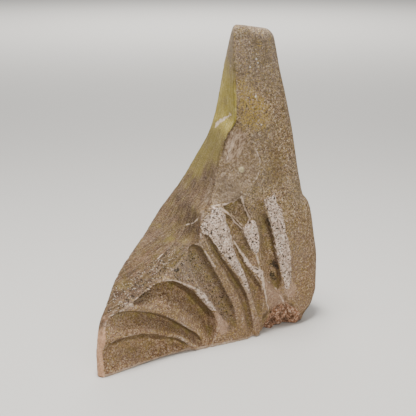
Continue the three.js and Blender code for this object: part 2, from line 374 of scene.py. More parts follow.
def levelRing(z):
    # a section in space: worn round and falling at the head, hollow under the toe
    outline = levelSection(z)
    centre = outline.mean(0)
    radius, height = form["headRadius"], form["height"]
    intoHead = min(max((z - height + radius) / radius, 0), 1)
    inset = form["headInset"] * radius * (1 - math.sqrt(1 - intoHead ** 2))
    nearHead = min(max(1 - (1 - z / height) / form["headFallBelow"], 0), 1)
    out = outline - centre
    place = centre + out * (1 - inset / np.linalg.norm(out, axis=1))[:, None]
    x = place[:, 0] / form["length"]
    fall = form["headFall"] * nearHead
    drop = fall * np.clip((x - form["headFallFrom"]) / form["headFallOver"], 0, 1)
    lifted = 0
    nearFace = np.clip(1 - (place[:, 1] + form["faceBow"]) / form["breakLiftDeep"], 0, 1)
    for lift, near in (("bedLift", 1), ("breakLift", nearFace)):
        span = np.clip((x - form[lift + "From"]) / form[lift + "Over"], 0, 1)
        lifted = lifted + form[lift] * np.sin(math.pi * span) ** 2 * near
    lift = lifted * max(0, 1 - z / form["bedLiftHigh"])
    return np.column_stack([place, z - drop + lift])


def joinRows(name, rows):
    # closed rings of points joined into one solid, both ends closed to a middle point
    count = len(rows[0])
    points = np.vstack(rows)
    faces = []
    for i in range(len(rows) - 1):
        for j in range(count):
            a, b = i * count + j, i * count + (j + 1) % count
            faces.append((a, b, b + count, a + count))
    for row in (0, len(rows) - 1):
        tip = len(points)
        points = np.vstack([points, rows[row].mean(0)])
        for j in range(count):
            edge = [row * count + j, row * count + (j + 1) % count]
            if row == 0:
                edge.reverse()
            faces.append((tip, *edge))
    return meshObject(name, points * mm, faces)


def arrisCurve(name):
    # an arris as a function of the share of its length
    points = np.array(arrises[name], float) * [form["length"], form["height"]] / whole
    last = len(points) - 1
    drawn = []
    for i in range(last):
        p0, p1, p2 = points[max(i - 1, 0)], points[i], points[i + 1]
        p3 = points[min(i + 2, last)]
        t = np.linspace(0, 1, form["arrisSteps"], endpoint=i == last - 1)[:, None]
        v0, v1 = (p2 - p0) / 2, (p3 - p1) / 2
        cube = (2 * p1 - 2 * p2 + v0 + v1) * t ** 3
        drawn.append(cube + (3 * p2 - 3 * p1 - 2 * v0 - v1) * t ** 2 + v0 * t + p1)
    drawn = np.vstack(drawn)
    run = np.concatenate([[0], np.cumsum(np.linalg.norm(np.diff(drawn, axis=0), axis=1))])

    def at(share):
        return np.array([np.interp(share * run[-1], run, drawn[:, k]) for k in (0, 1)])

    return at, run[-1]


def cutDepth(cut, share, width, place, along):
    # how deep a cut goes at each share of the way across it
    size, part, kind = cut[2:]
    grown = soften(along / kind["runIn"]) if "runIn" in kind else 1
    deepest = min(form[size] * part, form["steepest"] * width) * grown
    if "facet" in kind:
        u, w = (2 * math.pi * place[:, k] / form["breakGrain"] for k in (0, 1))
        skew = form["breakSkew"]
        ragged = np.sin(u + skew[0] * w) + np.sin(skew[1] * w + skew[2] * u)
        rough = form["breakRagged"] if kind.get("ragged") else 0
        return (1 - share) ** kind["facet"] * (deepest + rough * ragged)
    steep, wall = form["steep"], kind["wall"]
    slow = steep * wall / (1 - wall)
    peak = wall ** slow * (1 - wall) ** steep
    rise = form["bedShare"] + (1 - form["bedShare"]) * np.clip(place[:, 1] / form["nearBed"], 0, 1)
    toToe = form["toeShare"] + (1 - form["toeShare"]) * soften(place[:, 0] / form["toeFade"])
    return deepest * rise * toToe * share ** slow * (1 - share) ** steep / peak


def cutterSolid(cut):
    # the solid that one cut takes out, a row of points across it at each station
    (low, lowLength), (high, highLength) = arrisCurve(cut[0]), arrisCurve(cut[1])
    stations = math.ceil(max(lowLength, highLength) / form["stationGap"])
    spans = [(low(i / stations), high(i / stations)) for i in range(stations + 1)]
    widths = [float(np.linalg.norm(b - a)) for a, b in spans]
    wide = [i for i, width in enumerate(widths) if width > form["tipWidth"]]
    share = (1 - np.cos(np.linspace(0, math.pi, form["acrossSteps"]))) / 2
    rows = []
    for i, (a, b) in enumerate(spans):
        k = i if widths[i] > form["tipWidth"] else wide[0 if i < stations / 2 else -1]
        way = (spans[k][1] - spans[k][0]) / widths[k]
        spread = max(0, form["tipWidth"] - widths[i]) / 2
        a, b = a - way * spread, b + way * spread
        before, beyond = a - way * form["edgeOut"], b + way * form["edgeOut"] * form["edgeBeyond"]
        place = a + (b - a) * share[:, None]
        deep = cutDepth(cut, share, widths[i], place, i / stations) - form["skin"]
        lip = -form["front"] if "facet" in cut[4] else -form["edgeOut"] * form["edgeLip"]
        outside = [(before, lip), (beyond, -form["front"]), (before, -form["front"] - 1)]
        first, *rest = [[p[0], faceBack(p[0], p[1]) + d, p[1]] for p, d in outside]
        bottom = faceBack(place[:, 0], place[:, 1]) + deep
        rows.append(np.vstack([first, np.column_stack([place[:, 0], bottom, place[:, 1]]), rest]))
    return joinRows("cutter " + cut[1], rows)


bodyTop = form["height"] - form["headRadius"]
levels = list(np.linspace(0, bodyTop, round(bodyTop / form["levelStep"]) + 1))
for k in range(1, form["headSteps"] + 1):
    levels.append(bodyTop + form["headRadius"] * math.sin(math.pi / 2 * k / form["headSteps"]))
rings = [levelRing(z) for z in levels]
bedMiddle = rings[0].mean(0)
bedRing = rings[0] + (bedMiddle - rings[0]) * form["bedInner"]
bedRing[:, 2] = 0
block = joinRows("block", [bedRing] + rings)
cutters = [cutterSolid(cut) for cut in cuts]
print("block", len(block.data.vertices), "cutters", len(cutters))

for cutter in cutters:
    settings = {"object": cutter, "operation": "DIFFERENCE", "solver": "MANIFOLD"}
    addModifier(block, "carve", "BOOLEAN", settings)
addModifier(block, "even faces", "REMESH", {"mode": "VOXEL", "voxel_size": form["voxel"] * mm})
stoneMesh = evaluatedMesh(block)
allPoints = np.vstack(rings) * mm
middle = (allPoints.min(0) + allPoints.max(0)) / 2
for spent in [block] + cutters:
    bpy.data.objects.remove(spent)
print("carved and remeshed", len(stoneMesh.vertices), len(stoneMesh.polygons))

# the plain back and bed need fewer faces than the carving
facing = vertexVectors(stoneMesh, "normal")
plain = np.flatnonzero((facing[:, 1] > form["facesBack"]) | (facing[:, 2] < -form["facesDown"]))
carved = addObject("carved", stoneMesh)
carved.vertex_groups.new(name="plain").add(plain.tolist(), 1.0, "REPLACE")
kept = 1 - (1 - form["backShare"]) * len(plain) / len(stoneMesh.vertices)
addModifier(carved, "thin the back", "DECIMATE", {"vertex_group": "plain", "ratio": kept})
stoneMesh = evaluatedMesh(carved)
bpy.data.objects.remove(carved)
print("back thinned", len(stoneMesh.vertices), len(stoneMesh.polygons))

# where each finish lies: one attribute for each, worked out from the centred mesh
at = vertexVectors(stoneMesh, "co") - [middle[0], middle[1], 0]
setPlaces(stoneMesh, at)
normal = vertexVectors(stoneMesh, "normal")
vertexCount = len(stoneMesh.vertices)
edges = np.zeros(len(stoneMesh.edges) * 2, int)
stoneMesh.edges.foreach_get("vertices", edges)
edges = edges.reshape(-1, 2)
neighbours = np.bincount(edges.ravel(), minlength=vertexCount).astype(float)

# how the masks are worked out, lengths in mm
masking = {
    "evenOut": 0.6,  # how far one round of blurring takes a value to its neighbours' mean
    "fineRounds": 14,
    "broadRounds": 80,
    "facingRounds": 30,
    "frontFade": 10,
    "facesFront": 0.3,  # a normal below this share of straight back counts as the carved face
    "facesSide": 0.75,
    "spotSoft": 2.5,
}


def blurred(values, times):
    # values on the vertices, evened out with their neighbours
    values = np.array(values, float)
    flat = values.ndim == 1
    values = values[:, None] if flat else values
    for _ in range(times):
        total = np.zeros_like(values)
        for k in range(values.shape[1]):
            total[:, k] = np.bincount(edges[:, 0], values[edges[:, 1], k], vertexCount)
            total[:, k] += np.bincount(edges[:, 1], values[edges[:, 0], k], vertexCount)
        values = values + masking["evenOut"] * (total / neighbours[:, None] - values)
    return values[:, 0] if flat else values


def areaMask(outline, soft, deep):
    # 1 inside an outline of X and Z on the carved face, fading at its edge and behind the face
    points = np.array(outline, float)
    px, pz = at[:, 0] / mm, at[:, 2] / mm
    inside = np.zeros(vertexCount, bool)
    nearest = np.full(vertexCount, np.inf)
    for (ax, az), (bx, bz) in zip(points, np.roll(points, -1, axis=0)):
        crosses = (az > pz) != (bz > pz)
        cut = ax + (pz - az) * (bx - ax) / (bz - az if bz != az else tiny)
        inside ^= crosses & (px < cut)
        run = np.array([bx - ax, bz - az])
        u = np.clip(((px - ax) * run[0] + (pz - az) * run[1]) / max(run @ run, tiny), 0, 1)
        nearest = np.minimum(nearest, np.hypot(px - ax - u * run[0], pz - az - u * run[1]))
    signed = np.where(inside, nearest, -nearest)
    face = faceBack(px + middle[0] / mm, pz) - middle[1] / mm
    front = soften((face + deep - at[:, 1] / mm) / masking["frontFade"])
    front = front * (normal[:, 1] < masking["facesFront"])
    return soften(0.5 + signed / (2 * soft)) * front


def strokeMask(line, radius, soft):
    # 1 near a line of points in mm
    points = np.array(line, float) * mm
    nearest = np.full(vertexCount, np.inf)
    for a, b in zip(points[:-1], points[1:]):
        run = b - a
        u = np.clip((at - a) @ run / max(run @ run, tiny * mm), 0, 1)
        nearest = np.minimum(nearest, np.linalg.norm(at - a - u[:, None] * run, axis=1))
    return soften(0.5 + (radius * mm - nearest) / (2 * soft * mm))


# places on the carved face where the crust has worn to pale stone, X and Z in mm
wornPlaces = {
    "tongue": [
        (-20, 315), (-7, 311), (4, 298), (14, 287), (20, 267), (22, 249), (30, 216), (38, 191),
        (49, 163), (60, 141), (66, 120), (68, 104), (57, 122), (42, 151), (28, 166), (11, 195),
        (-6, 217), (-23, 241), (-33, 259), (-36, 274), (-34, 289), (-28, 303),
    ],
    "tongueHead": [
        (-51, 275), (-45, 291), (-35, 302), (-32, 286), (-34, 271), (-35, 257), (-46, 261),
    ],
    "stripe": [
        (103, 316), (115, 316), (127, 319), (133, 328), (134, 314), (139, 301), (150, 287),
        (152, 271), (158, 254), (163, 227), (172, 209), (177, 178), (181, 150), (182, 112),
        (174, 96), (165, 100), (160, 118), (151, 143), (145, 171), (138, 197), (132, 223),
        (122, 257), (117, 277), (108, 300),
    ],
    "patch": [
        (69, 276), (76, 273), (85, 256), (91, 236), (91, 214), (84, 194), (70, 208), (59, 232),
        (51, 251), (55, 258),
    ],
    "crestEnd": [
        (-68, 146), (-53, 136), (-41, 126), (-31, 113), (-19, 96), (-11, 81), (-25, 86), (-36, 97),
        (-49, 115), (-63, 133),
    ],
    "ridge": [
        (45, 212), (58, 190), (72, 172), (86, 163), (97, 158), (101, 148), (98, 128), (93, 136),
        (84, 149), (66, 166), (52, 184),
    ],
}
# fine pale lines along edges and scrapes: points and half the width
scrapes = [
    ([(-20, -109, 317), (-2, -116, 318), (13, -119, 317), (38, -109, 315), (48, -122, 328)], 2.4),
    ([(48, -122, 328), (55, -121, 309), (64, -122, 289), (69, -125, 276)], 3.0),
    ([(-15, -110, 315), (-1, -118, 309), (15, -121, 296), (34, -117, 274), (48, -124, 258),
      (58, -130, 248)], 2.4),
    ([(28, -122, 234), (38, -127, 216), (49, -129, 198), (63, -131, 177)], 2.6),
    ([(100, -134, 150), (101, -134, 127), (110, -134, 95), (131, -124, 48)], 3.2),
    ([(82, -133, 196), (88, -133, 179), (94, -134, 155)], 2.6),
    ([(-52, -112, 262), (-54, -113, 246), (-43, -115, 223), (-30, -117, 202), (-18, -119, 184)], 2.0),
    ([(-46, -47, 265), (-47, -74, 275), (-49, -98, 291), (-45, -101, 303), (-36, -91, 310)], 2.0),
    ([(104, -135, 131), (129, -125, 118), (147, -124, 100), (152, -133, 85), (168, -130, 63)], 1.8),
    ([(-257, -103, 129), (-238, -98, 123), (-211, -93, 117)], 2.2),
    ([(-221, -102, 136), (-208, -103, 150), (-188, -103, 159), (-166, -105, 167),
      (-147, -107, 172), (-127, -108, 174), (-115, -108, 170), (-88, -110, 157),
      (-68, -112, 145)], 2.3),
    ([(-286, -103, 62), (-263, -105, 73), (-240, -106, 75), (-217, -107, 74), (-190, -105, 68)], 1.9),
    ([(73, 2, 460), (68, -17, 471)], 8),
    ([(68, -17, 471), (60, -46, 484)], 5.2),
    ([(60, -46, 484), (47, -86, 501)], 3),
    ([(88, -121, 422), (97, -122, 403), (97, -123, 380), (89, -123, 364), (79, -123, 356)], 1.4),
    ([(52, -108, 478), (40, -106, 455), (31, -103, 432), (24, -101, 408)], 2.0),
    ([(63, -57, 598), (40, -105, 601), (38, -110, 588)], 2.0),
    ([(94, 9, 557), (85, -7, 546)], 1.8),
    ([(86, 3, 521), (84, -4, 525)], 1.8),
    ([(-125, -59, 208), (-112, -59, 216)], 2.0),
    ([(-222, -104, 140), (-214, -104, 141)], 4.0),
    ([(282, -114, 95), (276, -116, 71), (267, -117, 47)], 3.0),
]
# stone that is pinkish and lightly worn
tintPlaces = [
    [(-17, 77), (-9, 79), (3, 61), (13, 48), (19, 39), (15, 28), (-1, 24), (-13, 34), (-15, 57)],
    [(104, 128), (142, 109), (155, 88), (174, 62), (192, 44), (165, 52), (141, 45), (124, 62),
     (112, 95)],
    [(160, 121), (185, 115), (199, 92), (195, 72), (175, 73), (161, 94)],
]
# single white and dark spots, with half their width
whiteSpots = [
    ((84, -121, 615), 2.4), ((88, -121, 607), 2.0), ((65, -119, 536), 2.0), ((84, -121, 538), 2.6),
    ((99, -123, 477), 2.2), ((47, -72, 476), 2.0), ((52, -74, 530), 2.0), ((69, -119, 600), 2.2),
]
darkSpots = [
    ((116, -131, 266), 6), ((120, -132, 256), 5), ((141, -119, 160), 9), ((147, -124, 152), 7),
    ((139, -117, 132), 8), ((146, -118, 123), 6), ((79, -127, 297), 3), ((-67, -112, 180), 6),
    ((-62, -112, 172), 5), ((-111, -108, 194), 6), ((15, -124, 36), 7), ((52, -90, 660), 3.5),
    ((36, -104, 461), 3), ((73, -120, 641), 2.5), ((62, -118, 520), 2.5),
]
yellowKnob = ((54, -112, 385), 7)
# the grey panel between hollows and flutes, the shaft's spall, and the brown shade right of it
panel = [
    (-127, 176), (-102, 207), (-69, 225), (-37, 198), (-14, 161), (7, 121), (27, 80), (34, 49),
    (11, 52), (-13, 83), (-49, 128), (-80, 158), (-115, 172),
]
spallPlace = [
    (46, 480), (66, 456), (83, 432), (97, 405), (95, 374), (77, 351), (46, 327), (-1, 319),
    (-25, 320), (-6, 356), (3, 396), (18, 437), (31, 470),
]
shadePlace = [
    (118, 440), (147, 425), (167, 393), (166, 365), (161, 337), (145, 330), (132, 355),
    (126, 384), (114, 415),
]
# duller stone at the spall's lower end, and split stone at its upper end
dullPlace = [(-4, 318), (44, 322), (52, 340), (38, 356), (14, 372), (0, 366), (-6, 340)]
splitPlace = [(50, 474), (68, 456), (60, 420), (38, 402), (20, 407), (20, 437), (31, 464)]
# painted shadow close under the lowest arris of the toe: points and half the width
lipShades = [
    ([(-284, -97, 56), (-263, -99, 67), (-240, -100, 69), (-217, -101, 68), (-190, -100, 62),
      (-165, -101, 50)], 4),
]
# the broken lower right corner, and ochre lichen above the spall
breakPlace = [
    (141, 47), (147, 58), (162, 60), (177, 56), (192, 46), (205, 36), (219, 18), (226, -5),
    (120, -5), (128, 30),
]
ochrePlace = [
    (38, 578), (57, 572), (78, 560), (104, 536), (122, 500), (118, 466), (88, 462), (46, 474),
    (43, 500), (42, 539),
]
# grey lichen along the ridge and the lower sloping side: points and half the width
greyLines = [
    ([(-240, -83, 140), (-225, -80, 150), (-170, -80, 180), (-120, -85, 212), (-98, -83, 230)],
     26),
    ([(-110, -110, 190), (-70, -112, 195), (-40, -115, 165), (0, -120, 110)], 16),
]
# fine cracks in the spall: points and half the width
cracks = [
    ([(40, -110, 483), (30, -104, 463), (23, -101, 448), (16, -99, 415)], 1.8),
    ([(42, -108, 462), (33, -103, 440), (26, -101, 420)], 1.6),
]

# areas: outlines, the fade at their edge, and how far behind the face they reach
areas = {
    "worn": (list(wornPlaces.values()), 4, 16),
    "tinted": (tintPlaces, 10, 30),
    "panel": ([panel], 14, 30),
    "spall": ([spallPlace], 12, 45),
    "shade": ([shadePlace], 24, 45),
    "dull": ([dullPlace], 18, 45),
    "split": ([splitPlace], 12, 45),
    "fresh": ([breakPlace], 5, 70),
    "ochre": ([ochrePlace], 22, 45),
}
# strokes: lines and the fade beside them. A spot is a stroke without length
strokes = {
    "scraped": (scrapes, 2.2),
    "lip": (lipShades, 5),
    "grey": (greyLines, 18),
    "crack": (cracks, 1.6),
}
for name, spots in (("whiteSpot", whiteSpots), ("darkSpot", darkSpots), ("knob", [yellowKnob])):
    strokes[name] = ([([place, place], radius) for place, radius in spots], masking["spotSoft"])

masks = {}
for name, (outlines, soft, deep) in areas.items():
    masks[name] = np.max([areaMask(outline, soft, deep) for outline in outlines], axis=0)
for name, (lines, soft) in strokes.items():
    masks[name] = np.max([strokeMask(line, radius, soft) for line, radius in lines], axis=0)

# how far each vertex stands out of the stone round it, and which way that stone faces
fine, wide = (at - blurred(at, masking[rounds]) for rounds in ("fineRounds", "broadRounds"))
masks["relief"] = blurred(np.einsum("ij,ij->i", fine, normal) / mm, 1)
masks["hollow"] = np.einsum("ij,ij->i", wide, normal) / mm
broad = blurred(normal, masking["facingRounds"])

# masks that follow a measure: what is measured, where the mask starts and where it is full
measures = {
    "x": at[:, 0] / mm,
    "z": at[:, 2] / mm,
    "up": normal[:, 2],
    "carvedFace": normal[:, 1] < masking["facesFront"],
    "frontHalf": normal[:, 1] < masking["facesSide"],
    "broadRight": broad[:, 0],
    "broadBack": broad[:, 1],
    "broadSlope": broad[:, 2] - broad[:, 0],
}
fades = {
    # under: painted shade on the carved face's walls that face down
    "under": [("up", -0.02, -0.47), ("z", 12, 22), ("carvedFace", 0, 1)],
    "foot": [("z", 10, 3), ("x", 150, 110), ("carvedFace", 0, 1)],
    "band": [
        ("broadBack", -0.62, -0.42), ("broadSlope", 0.35, 0.65), ("z", 60, 120), ("z", 670, 530),
        ("frontHalf", 0, 1),
    ],
    "moss": [("x", -5, 70), ("z", 260, 450), ("z", 665, 565)],
    "toe": [("broadRight", -0.12, -0.37), ("z", 140, 80), ("x", -225, -280)],
    "rough": [("broadBack", 0.1, 0.6)],
}
for name, parts in fades.items():
    found = [soften((measures[what] - low) / (high - low)) for what, low, high in parts]
    masks[name] = np.prod(found, axis=0)
masks["moss"] = masks["moss"] * masks["band"]
for name, values in masks.items():
    attribute = stoneMesh.attributes.new(name, "FLOAT", "POINT")
    attribute.data.foreach_set("value", np.asarray(values, np.float32))
print("finishes placed", len(masks))

# the weathered surface, made by Geometry Nodes: heights, depths and sizes in mm
surface = {
    "Undulation": 1.4,
    "Undulation Size": 55,
    "Roughness": 0.9,
    "Roughness Size": 9,
    "Back Roughness": 7,
    "Back Size": 38,
    "Break Depth": 28.8,
    "Break Size": 30,
    "Spall Depth": 12,
    "Spall Size": 17,
    "Chip Depth": 3.0,
    "Chip Size": 14,
    "Knob Height": 3.5,
    "Shade Depth": 2.5,
    "Scrape Depth": 0.9,
    "Crack Depth": 2.5,
}
# its fractal patterns: how fine their detail goes, and a fixed seed
surfacePatterns = {
    "Undulation": (2.0, 3.0),
    "Roughness": (3.0, 7.0),
    "Break": (3.5, 11.0),
    "Spall": (5.0, 17.0),
    "Chip": (2.0, 23.0),
    "Back": (4.0, 29.0),
}
surfaceLimits = {
    "patternRoughness": 0.6,
    "ledgeTop": 0.02,  # the break's pattern is cut off here, so that it has flat ledges
    "chipPattern": (0.05, 0.25),
    "chipRelief": (0.6, 2.2),
}


def surfaceTree(material):
    tree = bpy.data.node_groups.new("weathered surface", "GeometryNodeTree")
    face = tree.interface
    face.new_socket("Geometry", in_out="INPUT", socket_type="NodeSocketGeometry")
    for name, value in surface.items():
        socket = face.new_socket(name, in_out="INPUT", socket_type="NodeSocketFloat")
        socket.default_value = value
    face.new_socket("Geometry", in_out="OUTPUT", socket_type="NodeSocketGeometry")
    group = addNode(tree, "NodeGroupInput").outputs
    place = addNode(tree, "GeometryNodeInputPosition").outputs[0]

    # the patterns, each about 0
    waves = {}
    for name, (detail, seed) in surfacePatterns.items():
        inputs = {0: 1 / mm, 1: group[name + " Size"]}
        scale = addNode(tree, "ShaderNodeMath", {"operation": "DIVIDE"}, inputs).outputs[0]
        inputs = {"Vector": place, "W": seed, "Scale": scale, "Detail": detail}
        inputs["Roughness"] = surfaceLimits["patternRoughness"]
        made = addNode(tree, "ShaderNodeTexNoise", {"noise_dimensions": "4D"}, inputs).outputs[0]
        made = addNode(tree, "ShaderNodeMath", {"operation": "SUBTRACT"}, {0: made, 1: 0.5})
        waves[name] = made.outputs[0]
    lies = {}
    for name in masks:
        settings = {"data_type": "FLOAT"}
        read = addNode(tree, "GeometryNodeInputNamedAttribute", settings, {"Name": name})
        lies[name] = read.outputs[0]

    # flat ledges in the break, a hewn back, and chips along the arrises
    inputs = {0: waves["Break"], 1: surfaceLimits["ledgeTop"]}
    ledges = addNode(tree, "ShaderNodeMath", {"operation": "MINIMUM"}, inputs).outputs[0]
    hewn = addNode(tree, "ShaderNodeMath", {"operation": "ABSOLUTE"}, {0: waves["Back"]}).outputs[0]
    chips = []
    for value, limits in ((waves["Chip"], "chipPattern"), (lies["relief"], "chipRelief")):
        low, high = surfaceLimits[limits]
        chips.append(addNode(tree, "ShaderNodeMapRange", {}, {0: value, 1: low, 2: high}).outputs[0])

    # what stands out and what goes in: its pattern, where it lies and how far it goes
    parts = [
        (1, waves["Undulation"], 1.0, group["Undulation"]),
        (1, waves["Roughness"], 1.0, group["Roughness"]),
        (1, ledges, lies["fresh"], group["Break Depth"]),
        (1, waves["Spall"], lies["spall"], group["Spall Depth"]),
        (1, 1.0, lies["knob"], group["Knob Height"]),
        (-1, hewn, lies["rough"], group["Back Roughness"]),
        (-1, chips[0], chips[1], group["Chip Depth"]),
        (-1, 1.0, lies["shade"], group["Shade Depth"]),
        (-1, 1.0, lies["scraped"], group["Scrape Depth"]),
        (-1, 1.0, lies["crack"], group["Crack Depth"]),
    ]
    total = 0.0
    for way, pattern, where, depth in parts:
        moved = addNode(tree, "ShaderNodeMath", {"operation": "MULTIPLY"}, {0: pattern, 1: where})
        inputs = {0: moved.outputs[0], 1: depth}
        moved = addNode(tree, "ShaderNodeMath", {"operation": "MULTIPLY"}, inputs)
        inputs = {0: moved.outputs[0], 1: way * mm, 2: total}
        total = addNode(tree, "ShaderNodeMath", {"operation": "MULTIPLY_ADD"}, inputs).outputs[0]

    out = addNode(tree, "GeometryNodeInputNormal").outputs[0]
    offset = addNode(tree, "ShaderNodeVectorMath", {"operation": "SCALE"}, {0: out, "Scale": total})
    inputs = {"Geometry": group["Geometry"], "Offset": offset.outputs[0]}
    moved = addNode(tree, "GeometryNodeSetPosition", {}, inputs).outputs[0]
    smooth = addNode(tree, "GeometryNodeSetShadeSmooth", {}, {"Geometry": moved}).outputs[0]
    real = addNode(tree, "GeometryNodeRealizeInstances", {}, {"Geometry": smooth}).outputs[0]
    inputs = {"Geometry": real, "Material": material}
    finished = addNode(tree, "GeometryNodeSetMaterial", {}, inputs).outputs[0]
    addNode(tree, "NodeGroupOutput", {}, {"Geometry": finished})
    return tree


# the stone's finish, sizes in mm
finish = {
    "grain": 2.9,  # coarser than the real 2 mm, so that it shows at this distance
    "fineGrain": 1.9,
    "speck": 2.8,  # dark mica, which is 2 to 3 mm in the stone
    "grainProud": 0.8,
    # how strong the painted shade in deep lines and creases is
    "creaseShade": 0.7,
    "teeth": {"Detail": 4.0, "Roughness": 0.55},  # the pattern that makes an edge ragged
    "roughness": 0.9,
    "shine": 0.25,
    "bump": 0.9,
    "bumpHeight": 2.3,
}
# how its patterns are drawn out: not at all, along the sloping side, and along the stone's split
directions = {
    "even": ("POINT", {}),
    "side": ("POINT", {"Scale": (0.09, 1.0, 0.09)}),
    "split": ("TEXTURE", {"Rotation": (0, -1.22, 0), "Scale": (5, 1, 1)}),
}
# its fractal patterns: size in mm, how fine their detail goes, their roughness and direction
patterns = {
    "drift": (108, 4.0, 0.55, "even"),
    "patina": (45, 5.0, 0.55, "even"),
    "slopeDirt": (38, 4.0, 0.55, "even"),
    "streak": (6, 4.0, 0.55, "side"),
    "fineStreak": (2.4, 3.0, 0.55, "side"),
    "algae": (24, 5.0, 0.55, "even"),
    "mossThick": (30, 5.0, 0.55, "even"),
    "wornGaps": (30, 3.0, 0.55, "even"),
    "patchy": (17, 4.0, 0.55, "even"),
    "dirtyBreak": (11, 4.0, 0.55, "even"),
    "chips": (5.5, 5.0, 0.8, "even"),
    "splinters": (5, 4.0, 0.7, "split"),
    "pits": (3.6, 5.0, 0.75, "even"),
}
# masks with a ragged edge: size of its teeth in mm, where the mask starts and is full, how ragged
raggedEdges = {
    "shade": (30, 0.3, 0.9, 0.5),
    "panel": (20, 0.35, 0.65, 0.5),
    "grey": (24, 0.2, 0.8, 0.4),
    "moss": (42, 0.0, 0.66, 0.6),
    "ochre": (12, 0.3, 0.9, 0.5),
    "darkSpot": (7, 0.3, 0.7, 0.8),
    "relief": (11, 0.7, 1.6, 0.5),
    "tinted": (16, 0.3, 0.8, 0.5),
    "spall": (22, 0.3, 0.8, 0.5),
    "split": (14, 0.3, 0.9, 0.9),
    "dull": (16, 0.2, 0.8, 0.5),
    "foot": (14, 0.4, 0.9, 0.9),
    "worn": (9, 0.35, 0.6, 0.55),
    "scraped": (9, 0.4, 0.95, 1.0),
    "toe": (26, 0.3, 0.85, 0.9),
    "knob": (7, 0.35, 0.8, 0.9),
    "whiteSpot": (5, 0.35, 0.8, 0.5),
    "fresh": (10, 0.35, 0.65, 0.5),
}
# colours from grain to grain, by the share of the grains below them
grainColours = {
    "weathered": [
        (0.0, "291d14"), (0.2, "4c3a29"), (0.44, "836854"), (0.7, "a5886c"), (0.9, "cfb291"),
        (1.0, "f2dfc4"),
    ],
    "weatheredFine": [(0.0, "352619"), (0.3, "6b533d"), (0.72, "9b8163"), (1.0, "e4cfad")],
    "pale": [
        (0.0, "24201c"), (0.15, "4b413a"), (0.21, "a68e7c"), (0.5, "d0b5a0"), (0.8, "e9d0bd"),
        (1.0, "faeee2"),
    ],
    "broken": [
        (0.0, "513424"), (0.22, "845b42"), (0.55, "ab8063"), (0.85, "caa386"), (1.0, "e6cbb3"),
    ],
    "chips": [(0.34, "3d3022"), (0.46, "7b664f"), (0.54, "a38c73"), (0.66, "d8c4ae")],
}


